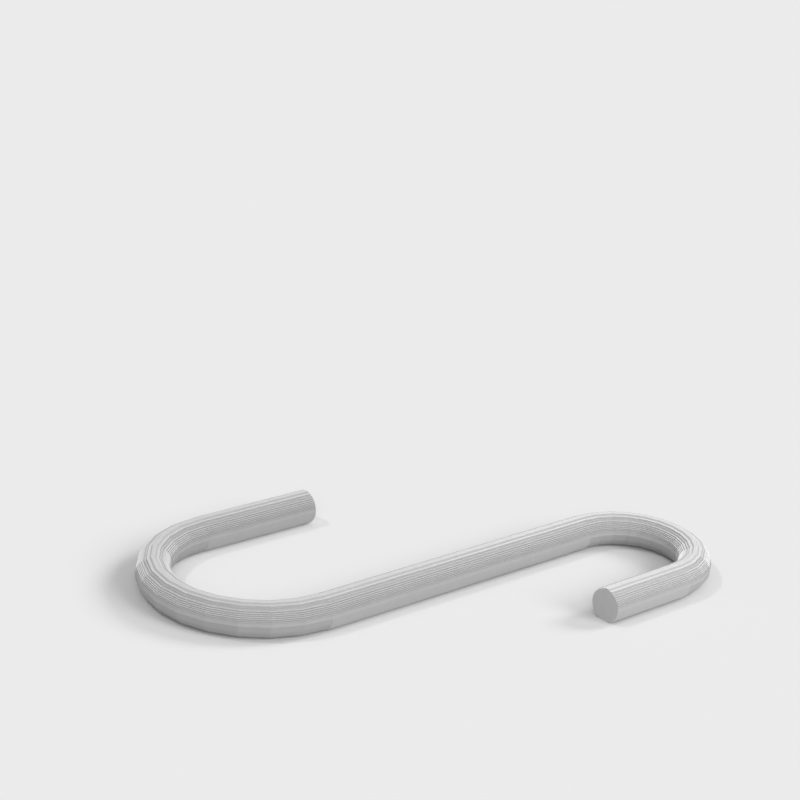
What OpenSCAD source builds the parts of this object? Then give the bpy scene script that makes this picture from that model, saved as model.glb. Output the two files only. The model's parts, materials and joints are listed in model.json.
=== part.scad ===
// S hook: one round rod bent into two open hooks of different size, lying flat.
// +X runs along the shank towards the small hook, +Z is up, and the rod rests on Z = 0.
// The origin is at the bottom centre of the hook's bounding box.

/* [Rod] */
// Diameter of the rod
rod_d = 5; // [3:0.5:8]
// Straight length of rod between the two bends
shank_len = 50; // [15:1:150]

/* [Large hook] */
// Clear width inside the large hook
large_inside = 25; // [10:1:60]
// Straight length of the large hook's tip past its bend
large_tip_len = 20; // [6:1:60]

/* [Small hook] */
// Clear width inside the small hook
small_inside = 15; // [8:1:60]
// Straight length of the small hook's tip past its bend
small_tip_len = 15; // [6:1:60]

/* [Bends] */
// Straight facets that make up each half-turn bend
bend_facets = 12; // [6:2:24]

/* [Hidden] */
$fn = 64;

rod_r = rod_d / 2;
large_r = (large_inside + rod_d) / 2; // bend radius of the rod's centreline
small_r = (small_inside + rod_d) / 2;
facet_turn = 180 / bend_facets;
corner_reach = rod_r / cos(facet_turn / 2); // how far a facet corner stands off the centreline

// Bounding box of the hook when the shank runs along X from 0 to shank_len
left = min(-large_r - corner_reach, shank_len - small_tip_len);
right = max(shank_len + small_r + corner_reach, large_tip_len);
front = -2 * small_r - rod_r;
back = 2 * large_r + rod_r;

// Corners of the rod's centreline, from the large hook's tip to the small hook's tip
large_bend = [for (k = [0:bend_facets]) let (a = 90 + k * facet_turn)
    [large_r * cos(a), large_r + large_r * sin(a)]];
small_bend = [for (k = [0:bend_facets]) let (a = 90 - k * facet_turn)
    [shank_len + small_r * cos(a), -small_r + small_r * sin(a)]];
path = concat(
    [[large_tip_len, 2 * large_r]],
    large_bend,
    small_bend,
    [[shank_len - small_tip_len, -2 * small_r]]
);
last = len(path) - 1;

// Direction of the straight run that leaves corner i, in degrees
function heading(i) = let (d = path[i + 1] - path[i]) atan2(d.y, d.x);

// Angle that the rod turns through at corner i, and none at its two ends
function turn(i) = (i == 0 || i == last) ? 0
    : let (t = heading(i) - heading(i - 1)) t - 360 * round(t / 360);

// One straight run of rod, mitred at both corners so that it meets its neighbours face to face
module run(i) {
    length = norm(path[i + 1] - path[i]);
    start = turn(i) / 2;
    end = turn(i + 1) / 2;
    reach = 1.1 * rod_r;
    translate(path[i]) rotate(heading(i)) intersection() {
        translate([-reach, 0, 0]) rotate([0, 90, 0]) cylinder(h = length + 2 * reach, r = rod_r);
        linear_extrude(height = 2 * reach, center = true) polygon([
            [-reach * sin(start), -reach * cos(start)],
            [length + reach * sin(end), -reach * cos(end)],
            [length - reach * sin(end), reach * cos(end)],
            [reach * sin(start), reach * cos(start)]
        ]);
    }
}

module s_hook() {
    color("lightgray")
    translate([-(left + right) / 2, -(front + back) / 2, rod_r])
    for (i = [0:last - 1]) run(i);
}

s_hook();
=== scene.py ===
"""The looks of a printed S hook that lies flat on a pale studio floor.

The hook is one printed rod. It is built as the printer lays it: level layers whose edges step
round the rod, along a path that turns each bend in short straight facets.
"""

import json
import math

import bmesh
import bpy
from mathutils import Matrix, Vector


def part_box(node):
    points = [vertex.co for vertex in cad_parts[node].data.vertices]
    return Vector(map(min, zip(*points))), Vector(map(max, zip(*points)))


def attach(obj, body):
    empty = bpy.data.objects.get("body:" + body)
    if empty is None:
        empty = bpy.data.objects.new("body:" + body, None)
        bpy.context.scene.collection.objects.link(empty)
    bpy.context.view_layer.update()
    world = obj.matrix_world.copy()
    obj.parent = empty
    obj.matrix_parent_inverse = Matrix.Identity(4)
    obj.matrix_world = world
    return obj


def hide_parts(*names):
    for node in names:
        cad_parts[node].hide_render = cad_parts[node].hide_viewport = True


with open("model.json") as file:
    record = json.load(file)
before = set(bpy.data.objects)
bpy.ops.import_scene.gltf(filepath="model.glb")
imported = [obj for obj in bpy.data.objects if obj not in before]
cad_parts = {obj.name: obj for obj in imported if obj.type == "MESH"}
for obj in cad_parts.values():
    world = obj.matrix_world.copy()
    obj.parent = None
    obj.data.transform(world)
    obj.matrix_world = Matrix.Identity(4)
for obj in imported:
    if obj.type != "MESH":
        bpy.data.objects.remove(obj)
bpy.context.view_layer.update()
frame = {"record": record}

MM = 0.001
ROUNDING = 1e-12               # allows for rounding errors when heights are compared

# ---------------------------------------------------------------- sizes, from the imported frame

node_low, node_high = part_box("s_hook")
MOUNTS = {mount["name"]: mount for mount in frame["record"]["mounts"]}
ROD_R = (node_high.z - node_low.z) / 2

# ---------------------------------------------------------------- print settings
LAYERS = 23                    # level layers in the height of the rod
SECTION_DROP = 0.05 * ROD_R    # how far the round section sits below mid height, flattened on the bed
RIDGE_FOOT = 0.20 * ROD_R      # half width of the topmost layer, about one line of plastic
RIDGE_TOP = 0.12 * ROD_R       # half width at its top, since its sides lean in
TOP_INSET = 0.002 * MM         # keeps the top just inside the CAD box
BEND_FACETS = 12               # straight facets in each half turn
BEND_SIDES = 16                # flats round the rod's section in the bends
STRAIGHT_SIDES = 32            # flats round the rod's section in the straight runs
SEAM = 0.03 * MM               # length over which the section changes where a bend starts
UNDERSIDE_LEAN = 0.5           # how far the layers under a bend lean with its flats, 0 is upright

# ---------------------------------------------------------------- plastic
PLASTIC = 0.49                 # light grey
MOTTLE = 0.02                  # how much its tone varies
MOTTLE_SCALE = 900             # about one patch in each millimetre
MOTTLE_DETAIL = 3
MOTTLE_RANGE = (0.3, 0.7)      # values of the noise that stand for the darkest and lightest tone
PLASTIC_ROUGHNESS = 0.5

# Painted shade and painted light on the layers, as a multiple of the plastic's own tone: darker
# creases, top sides, outer edge strips and undersides, lighter step tops. They are set per face in the
# mesh.
STEPS_FROM = 0.10              # height above mid section, in rod radii, where the painted crease shade and painted lip light start
STEPS_FULL = 0.35              # height where they show in full
PAINTED_CREASE_SHADE = 0.38                  # painted shade: how much darker a stepped layer is in the crease at its foot
PAINTED_CREASE_SHARE = 0.55            # how much of its side that painted shade takes
PAINTED_RIDGE_SHADE = 0.05            # painted shade: how much darker the sides of the layers at the top are
PAINTED_EDGE_WIDTH = 0.04 * ROD_R            # width of the painted shade strip along the outer edge of the widest steps
PAINTED_EDGE_SHADE = 0.6                # tone of that painted shade
PAINTED_EDGE_LAYERS = 2               # steps that have it, counted from the top
PAINTED_TREAD_LIGHT = 0.10                   # painted light: how much lighter the rest of such a step is
PAINTED_LIP_LIGHT = 0.6                      # painted light: how much lighter the narrow steps are
PAINTED_LIP_LAYERS = 3                 # layers below the edged ones over which that comes in
PAINTED_UNDER_SHADE = 0.91              # painted shade: tone of the layers below mid section
PAINTED_UNDER_SHADE_BEND = 0.84         # the same painted shade in the bends


def hook_path():
    """Corners of the rod's centreline in plan, from the large hook's tip to the small hook's."""
    large_tip, small_tip = MOUNTS["large_tip"], MOUNTS["small_tip"]
    large_y = MOUNTS["large_hook_seat"]["pos_m"][1]
    small_y = MOUNTS["small_hook_seat"]["pos_m"][1]
    large_r = large_tip["pos_m"][1] - large_y
    shank_y = large_y - large_r
    small_r = shank_y - small_y
    corner_reach = ROD_R / math.cos(math.pi / BEND_FACETS / 2)
    large_centre = Vector((node_low.x + corner_reach + large_r, large_y))
    small_centre = Vector((node_high.x - corner_reach - small_r, small_y))
    large_end = large_tip["pos_m"][0] + large_tip["dims"]["length_mm"] * MM / 2
    small_end = small_tip["pos_m"][0] - small_tip["dims"]["length_mm"] * MM / 2

    def bend(centre, radius, side):
        steps = [math.pi * (0.5 + side * k / BEND_FACETS) for k in range(BEND_FACETS + 1)]
        return [centre + radius * Vector((math.cos(a), math.sin(a))) for a in steps]

    return (
        [Vector((large_end, large_tip["pos_m"][1]))]
        + bend(large_centre, large_r, 1)
        + bend(small_centre, small_r, -1)
        + [Vector((small_end, small_tip["pos_m"][1]))]
    )


def clamp(value):
    """The value, kept between 0 and 1."""
    return max(0, min(1, value))


def half_width(height, sides):
    """Half the width of a section with that many sides, at a height from its centre."""
    step = 2 * math.pi / sides
    height = max(-ROD_R, min(ROD_R, height))
    for k in range(-sides // 4, sides // 4):
        low_z, high_z = ROD_R * math.sin(k * step), ROD_R * math.sin((k + 1) * step)
        if height <= high_z + ROUNDING:
            share = (height - low_z) / (high_z - low_z)
            return ROD_R * (math.cos(k * step) * (1 - share) + math.cos((k + 1) * step) * share)


def section(sides):
    """The rod's printed outline as (offset, height) pairs, anticlockwise, and the tone of each edge,
    which carries the painted shade and painted light of the layers.
    """
    layer_h = (2 * ROD_R - TOP_INSET) / LAYERS
    centre = ROD_R - SECTION_DROP
    right = []
    painted_tones = []
    for layer in range(LAYERS):
        bottom, top = layer * layer_h, (layer + 1) * layer_h
        low, middle, high = (z - centre for z in (bottom, (bottom + top) / 2, top))
        under = middle < 0
        upper = layer > LAYERS // 2
        width = half_width(middle, sides)
        lean = UNDERSIDE_LEAN if under and sides == BEND_SIDES else 0
        low_width = width + lean * (half_width(low, sides) - width)
        high_width = width + lean * (half_width(high, sides) - width)
        down = LAYERS - 1 - layer
        if down == 0:
            low_width, high_width = RIDGE_FOOT, RIDGE_TOP
        # How strongly the painted crease shade and painted lip light show at this height.
        step = clamp((middle / ROD_R - STEPS_FROM) / (STEPS_FULL - STEPS_FROM))
        shade = 1
        # Painted shade: the layers below mid section are darker.
        if under:
            shade = PAINTED_UNDER_SHADE_BEND if sides == BEND_SIDES else PAINTED_UNDER_SHADE
        right.append((low_width, bottom))
        # Painted shade in the crease at the foot of each stepped layer's side.
        if upper and down > PAINTED_EDGE_LAYERS:
            crease_width = low_width + PAINTED_CREASE_SHARE * (high_width - low_width)
            right.append((crease_width, bottom + PAINTED_CREASE_SHARE * layer_h))
            painted_tones += [1 - PAINTED_CREASE_SHADE * step, 1]
        else:
            # Painted shade: darker below mid section, and on the sides of the top layers.
            painted_tones.append(shade - (PAINTED_RIDGE_SHADE if upper else 0))
        right.append((high_width, top))
        # Painted shade in a strip along the outer edge of the top steps, painted light on the rest of
        # them.
        if 0 < down <= PAINTED_EDGE_LAYERS:
            right.append((high_width - PAINTED_EDGE_WIDTH, top))
            painted_tones += [PAINTED_EDGE_SHADE, 1 + PAINTED_TREAD_LIGHT]
        else:
            # Painted light on the narrow steps.
            painted_tones.append(1 + PAINTED_LIP_LIGHT * step * clamp((down - PAINTED_EDGE_LAYERS) / PAINTED_LIP_LAYERS))
    outline = right + [(-x, z) for x, z in reversed(right)]
    return outline, painted_tones + painted_tones[-2::-1] + [1]


def sweep(path, name):
    """A closed mesh of the printed section along the path, mitred at every corner."""
    straight = section(STRAIGHT_SIDES)
    curved = section(BEND_SIDES)
    headings = [(b - a).normalized() for a, b in zip(path, path[1:])]
    bend_starts = {1, BEND_FACETS + 2}
    bend_ends = {BEND_FACETS + 1, 2 * BEND_FACETS + 2}
    rings = []
    for i, corner in enumerate(path):
        before = headings[max(i - 1, 0)]
        after = headings[min(i, len(headings) - 1)]
        across = (before + after).normalized()
        stretch = 1 / across.dot(after)
        side = Vector((across.y, -across.x)) * stretch
        if i in bend_starts:
            rings += [(corner, side, straight), (corner + after * SEAM, side, curved)]
        elif i in bend_ends:
            rings += [(corner - before * SEAM, side, curved), (corner, side, straight)]
        elif min(bend_starts) < i < min(bend_ends) or max(bend_starts) < i < max(bend_ends):
            rings.append((corner, side, curved))
        else:
            rings.append((corner, side, straight))
    mesh = bpy.data.meshes.new(name)
    bm = bmesh.new()
    # Per-face tone: the painted shade and painted light of the layers.
    painted_tone_of = bm.faces.layers.float.new("tone")
    loops = []
    for corner, side, (outline, _) in rings:
        places = [(corner.x + side.x * x, corner.y + side.y * x, z) for x, z in outline]
        loops.append([bm.verts.new(place) for place in places])
    for one, two, (_, _, (_, painted_tones)) in zip(loops, loops[1:], rings):
        for k in range(len(one)):
            n = (k + 1) % len(one)
            face = bm.faces.new((one[k], one[n], two[n], two[k]))
            face[painted_tone_of] = painted_tones[k]
    for cap in (list(reversed(loops[0])), loops[-1]):
        bm.faces.new(cap)[painted_tone_of] = 1
    bmesh.ops.recalc_face_normals(bm, faces=bm.faces)
    bm.to_mesh(mesh)
    bm.free()
    return mesh


def printed_plastic():
    """Light grey printed plastic, slightly uneven, with the painted shade and painted light of each
    layer from the mesh.
    """
    material = bpy.data.materials.new("printed_plastic")
    material.use_nodes = True
    tree = material.node_tree
    shader = tree.nodes["Principled BSDF"]
    shader.inputs["Roughness"].default_value = PLASTIC_ROUGHNESS
    place = tree.nodes.new("ShaderNodeTexCoord")
    mottle = tree.nodes.new("ShaderNodeTexNoise")
    mottle.inputs["Scale"].default_value = MOTTLE_SCALE
    mottle.inputs["Detail"].default_value = MOTTLE_DETAIL
    tree.links.new(place.outputs["Object"], mottle.inputs["Vector"])
    tone = tree.nodes.new("ShaderNodeMapRange")
    tone.inputs["From Min"].default_value = MOTTLE_RANGE[0]
    tone.inputs["From Max"].default_value = MOTTLE_RANGE[1]
    tone.inputs["To Min"].default_value = PLASTIC * (1 - MOTTLE)
    tone.inputs["To Max"].default_value = PLASTIC * (1 + MOTTLE)
    tree.links.new(mottle.outputs["Fac"], tone.inputs["Value"])
    # The tone attribute from the mesh is painted shade and painted light, multiplied into the grey.
    layer = tree.nodes.new("ShaderNodeAttribute")
    layer.attribute_name = "tone"
    grey = tree.nodes.new("ShaderNodeMath")
    grey.operation = "MULTIPLY"
    tree.links.new(tone.outputs["Result"], grey.inputs[0])
    tree.links.new(layer.outputs["Fac"], grey.inputs[1])
    tree.links.new(grey.outputs["Value"], shader.inputs["Base Color"])
    return material


hook = bpy.data.objects.new("printed_hook", sweep(hook_path(), "printed_hook"))
bpy.context.scene.collection.objects.link(hook)
hook.data.materials.append(printed_plastic())
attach(hook, "root")
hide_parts("s_hook")

# ---------------------------------------------------------------- floor
FLOOR_HALF = 2.0               # metres, beyond the edge of every view
FLOOR_COLOUR = 0.8             # as seen, and in reflections
FLOOR_BOUNCE = 0.24            # its colour for the light that it throws back on the hook


def path_switch(tree, shown, hidden):
    """A grey that is one level in view and in reflections, and another for the light it gives."""
    path = tree.nodes.new("ShaderNodeLightPath")
    seen = tree.nodes.new("ShaderNodeMath")
    seen.operation = "ADD"
    seen.use_clamp = True
    tree.links.new(path.outputs["Is Camera Ray"], seen.inputs[0])
    tree.links.new(path.outputs["Is Glossy Ray"], seen.inputs[1])
    mix = tree.nodes.new("ShaderNodeMix")
    mix.data_type = "RGBA"
    mix.inputs["A"].default_value = (hidden, hidden, hidden, 1)
    mix.inputs["B"].default_value = (shown, shown, shown, 1)
    tree.links.new(seen.outputs[0], mix.inputs["Factor"])
    return mix.outputs["Result"]


def floor_paper():
    """Plain matt studio paper."""
    material = bpy.data.materials.new("floor_paper")
    material.use_nodes = True
    tree = material.node_tree
    tree.nodes.clear()
    output = tree.nodes.new("ShaderNodeOutputMaterial")
    diffuse = tree.nodes.new("ShaderNodeBsdfDiffuse")
    tree.links.new(path_switch(tree, FLOOR_COLOUR, FLOOR_BOUNCE), diffuse.inputs["Color"])
    tree.links.new(diffuse.outputs["BSDF"], output.inputs["Surface"])
    return material


floor_mesh = bpy.data.meshes.new("floor")
floor_signs = [(-1, -1), (1, -1), (1, 1), (-1, 1)]
floor_corners = [(x * FLOOR_HALF, y * FLOOR_HALF, 0) for x, y in floor_signs]
floor_mesh.from_pydata(floor_corners, [], [(0, 1, 2, 3)])
floor = bpy.data.objects.new("floor", floor_mesh)
bpy.context.scene.collection.objects.link(floor)
floor_mesh.materials.append(floor_paper())

# ---------------------------------------------------------------- camera, fitted to the photograph
CAMERA_AT = Vector((-171.8, -187.9, 120.775)) * MM
CAMERA_HEADING = math.radians(-41.31)
CAMERA_PITCH = math.radians(20.185)
CAMERA_ROLL = math.radians(3.97)
CAMERA_LENS = 86.0             # millimetres
CAMERA_SENSOR = 36             # width in millimetres
CAMERA_NEAR = 0.01             # metres
camera_data = bpy.data.cameras.new("camera")
camera_data.lens = CAMERA_LENS
camera_data.sensor_width = CAMERA_SENSOR
camera_data.clip_start = CAMERA_NEAR
camera = bpy.data.objects.new("camera", camera_data)
camera.matrix_world = (
    Matrix.Translation(CAMERA_AT)
    @ Matrix.Rotation(CAMERA_HEADING, 4, "Z")
    @ Matrix.Rotation(math.pi / 2 - CAMERA_PITCH, 4, "X")
    @ Matrix.Rotation(CAMERA_ROLL, 4, "Z")
)
bpy.context.scene.collection.objects.link(camera)
bpy.context.scene.camera = camera


# ---------------------------------------------------------------- light
def lit_group(name, thing):
    """A collection of one object, for lamps that light only that object."""
    group = bpy.data.collections.new(name)
    group.objects.link(thing)
    return group


hook_only = lit_group("lit_hook", hook)
floor_only = lit_group("lit_floor", floor)


def direction(azimuth, elevation):
    """Unit vector towards a lamp, azimuth from +X towards +Y, both in degrees."""
    turn = math.radians(azimuth)
    rise = math.radians(elevation)
    return Vector((math.cos(turn) * math.cos(rise), math.sin(turn) * math.cos(rise), math.sin(rise)))


def add_light(data, group):
    """An object for the lamp, which lights only what is in the group."""
    light = bpy.data.objects.new(data.name, data)
    bpy.context.scene.collection.objects.link(light)
    light.light_linking.receiver_collection = group
    return light


def soft_sun(name, azimuth, elevation, level, spread, group):
    """A broad, distant studio light. Level 1 shows a surface that faces it in its own colour."""
    data = bpy.data.lights.new(name, "SUN")
    data.energy = level * math.pi
    data.angle = math.radians(spread)
    light = add_light(data, group)
    light.rotation_euler = direction(azimuth, elevation).to_track_quat("Z", "Y").to_euler()


def near_lamp(name, azimuth, elevation, distance, level, radius, group):
    """A round lamp near the hook. Level 1 shows a surface at the middle in its own colour."""
    data = bpy.data.lights.new(name, "POINT")
    data.energy = level * 4 * math.pi ** 2 * distance ** 2
    data.shadow_soft_size = radius
    light = add_light(data, group)
    light.location = direction(azimuth, elevation) * distance


# Lamps on the hook: name, azimuth, elevation, distance, level, radius.
near_lamp("key", 300, 20, 95 * MM, 0.159, 20 * MM, hook_only)
near_lamp("right", 30, 40, 150 * MM, 0.218, 20 * MM, hook_only)
near_lamp("left", 210, 20, 150 * MM, 0.120, 20 * MM, hook_only)
near_lamp("fill_left", 240, 15, 320 * MM, 0.260, 38 * MM, hook_only)
near_lamp("fill_right", 300, 15, 320 * MM, 0.212, 38 * MM, hook_only)

# Suns on the hook: name, azimuth, elevation, level, spread.
soft_sun("back_low", 49, 25, 0.101, 20, hook_only)
soft_sun("back", 49, 55, 0.22, 20, hook_only)
soft_sun("side", 139, 40, 0.19, 20, hook_only)

# Suns on the floor, in the same order of values, for the hook's shadow there.
soft_sun("shade_front", 229, 32, 0.23, 30, floor_only)
soft_sun("shade_key", 290, 32, 0.41, 30, floor_only)
soft_sun("shade_right", 342, 34, 0.36, 20, floor_only)
soft_sun("overhead", 148, 57, 0.12, 3, floor_only)

# ---------------------------------------------------------------- world
AMBIENT = 0.4        # soft light from all round
BACKDROP = 0.831     # pale grey beyond the floor, as bright as the floor in view
world = bpy.data.worlds.new("world")
bpy.context.scene.world = world
world.use_nodes = True
backdrop = world.node_tree.nodes["Background"]
backdrop_grey = path_switch(world.node_tree, BACKDROP, AMBIENT)
world.node_tree.links.new(backdrop_grey, backdrop.inputs["Color"])

bpy.context.scene.view_settings.view_transform = "Standard"
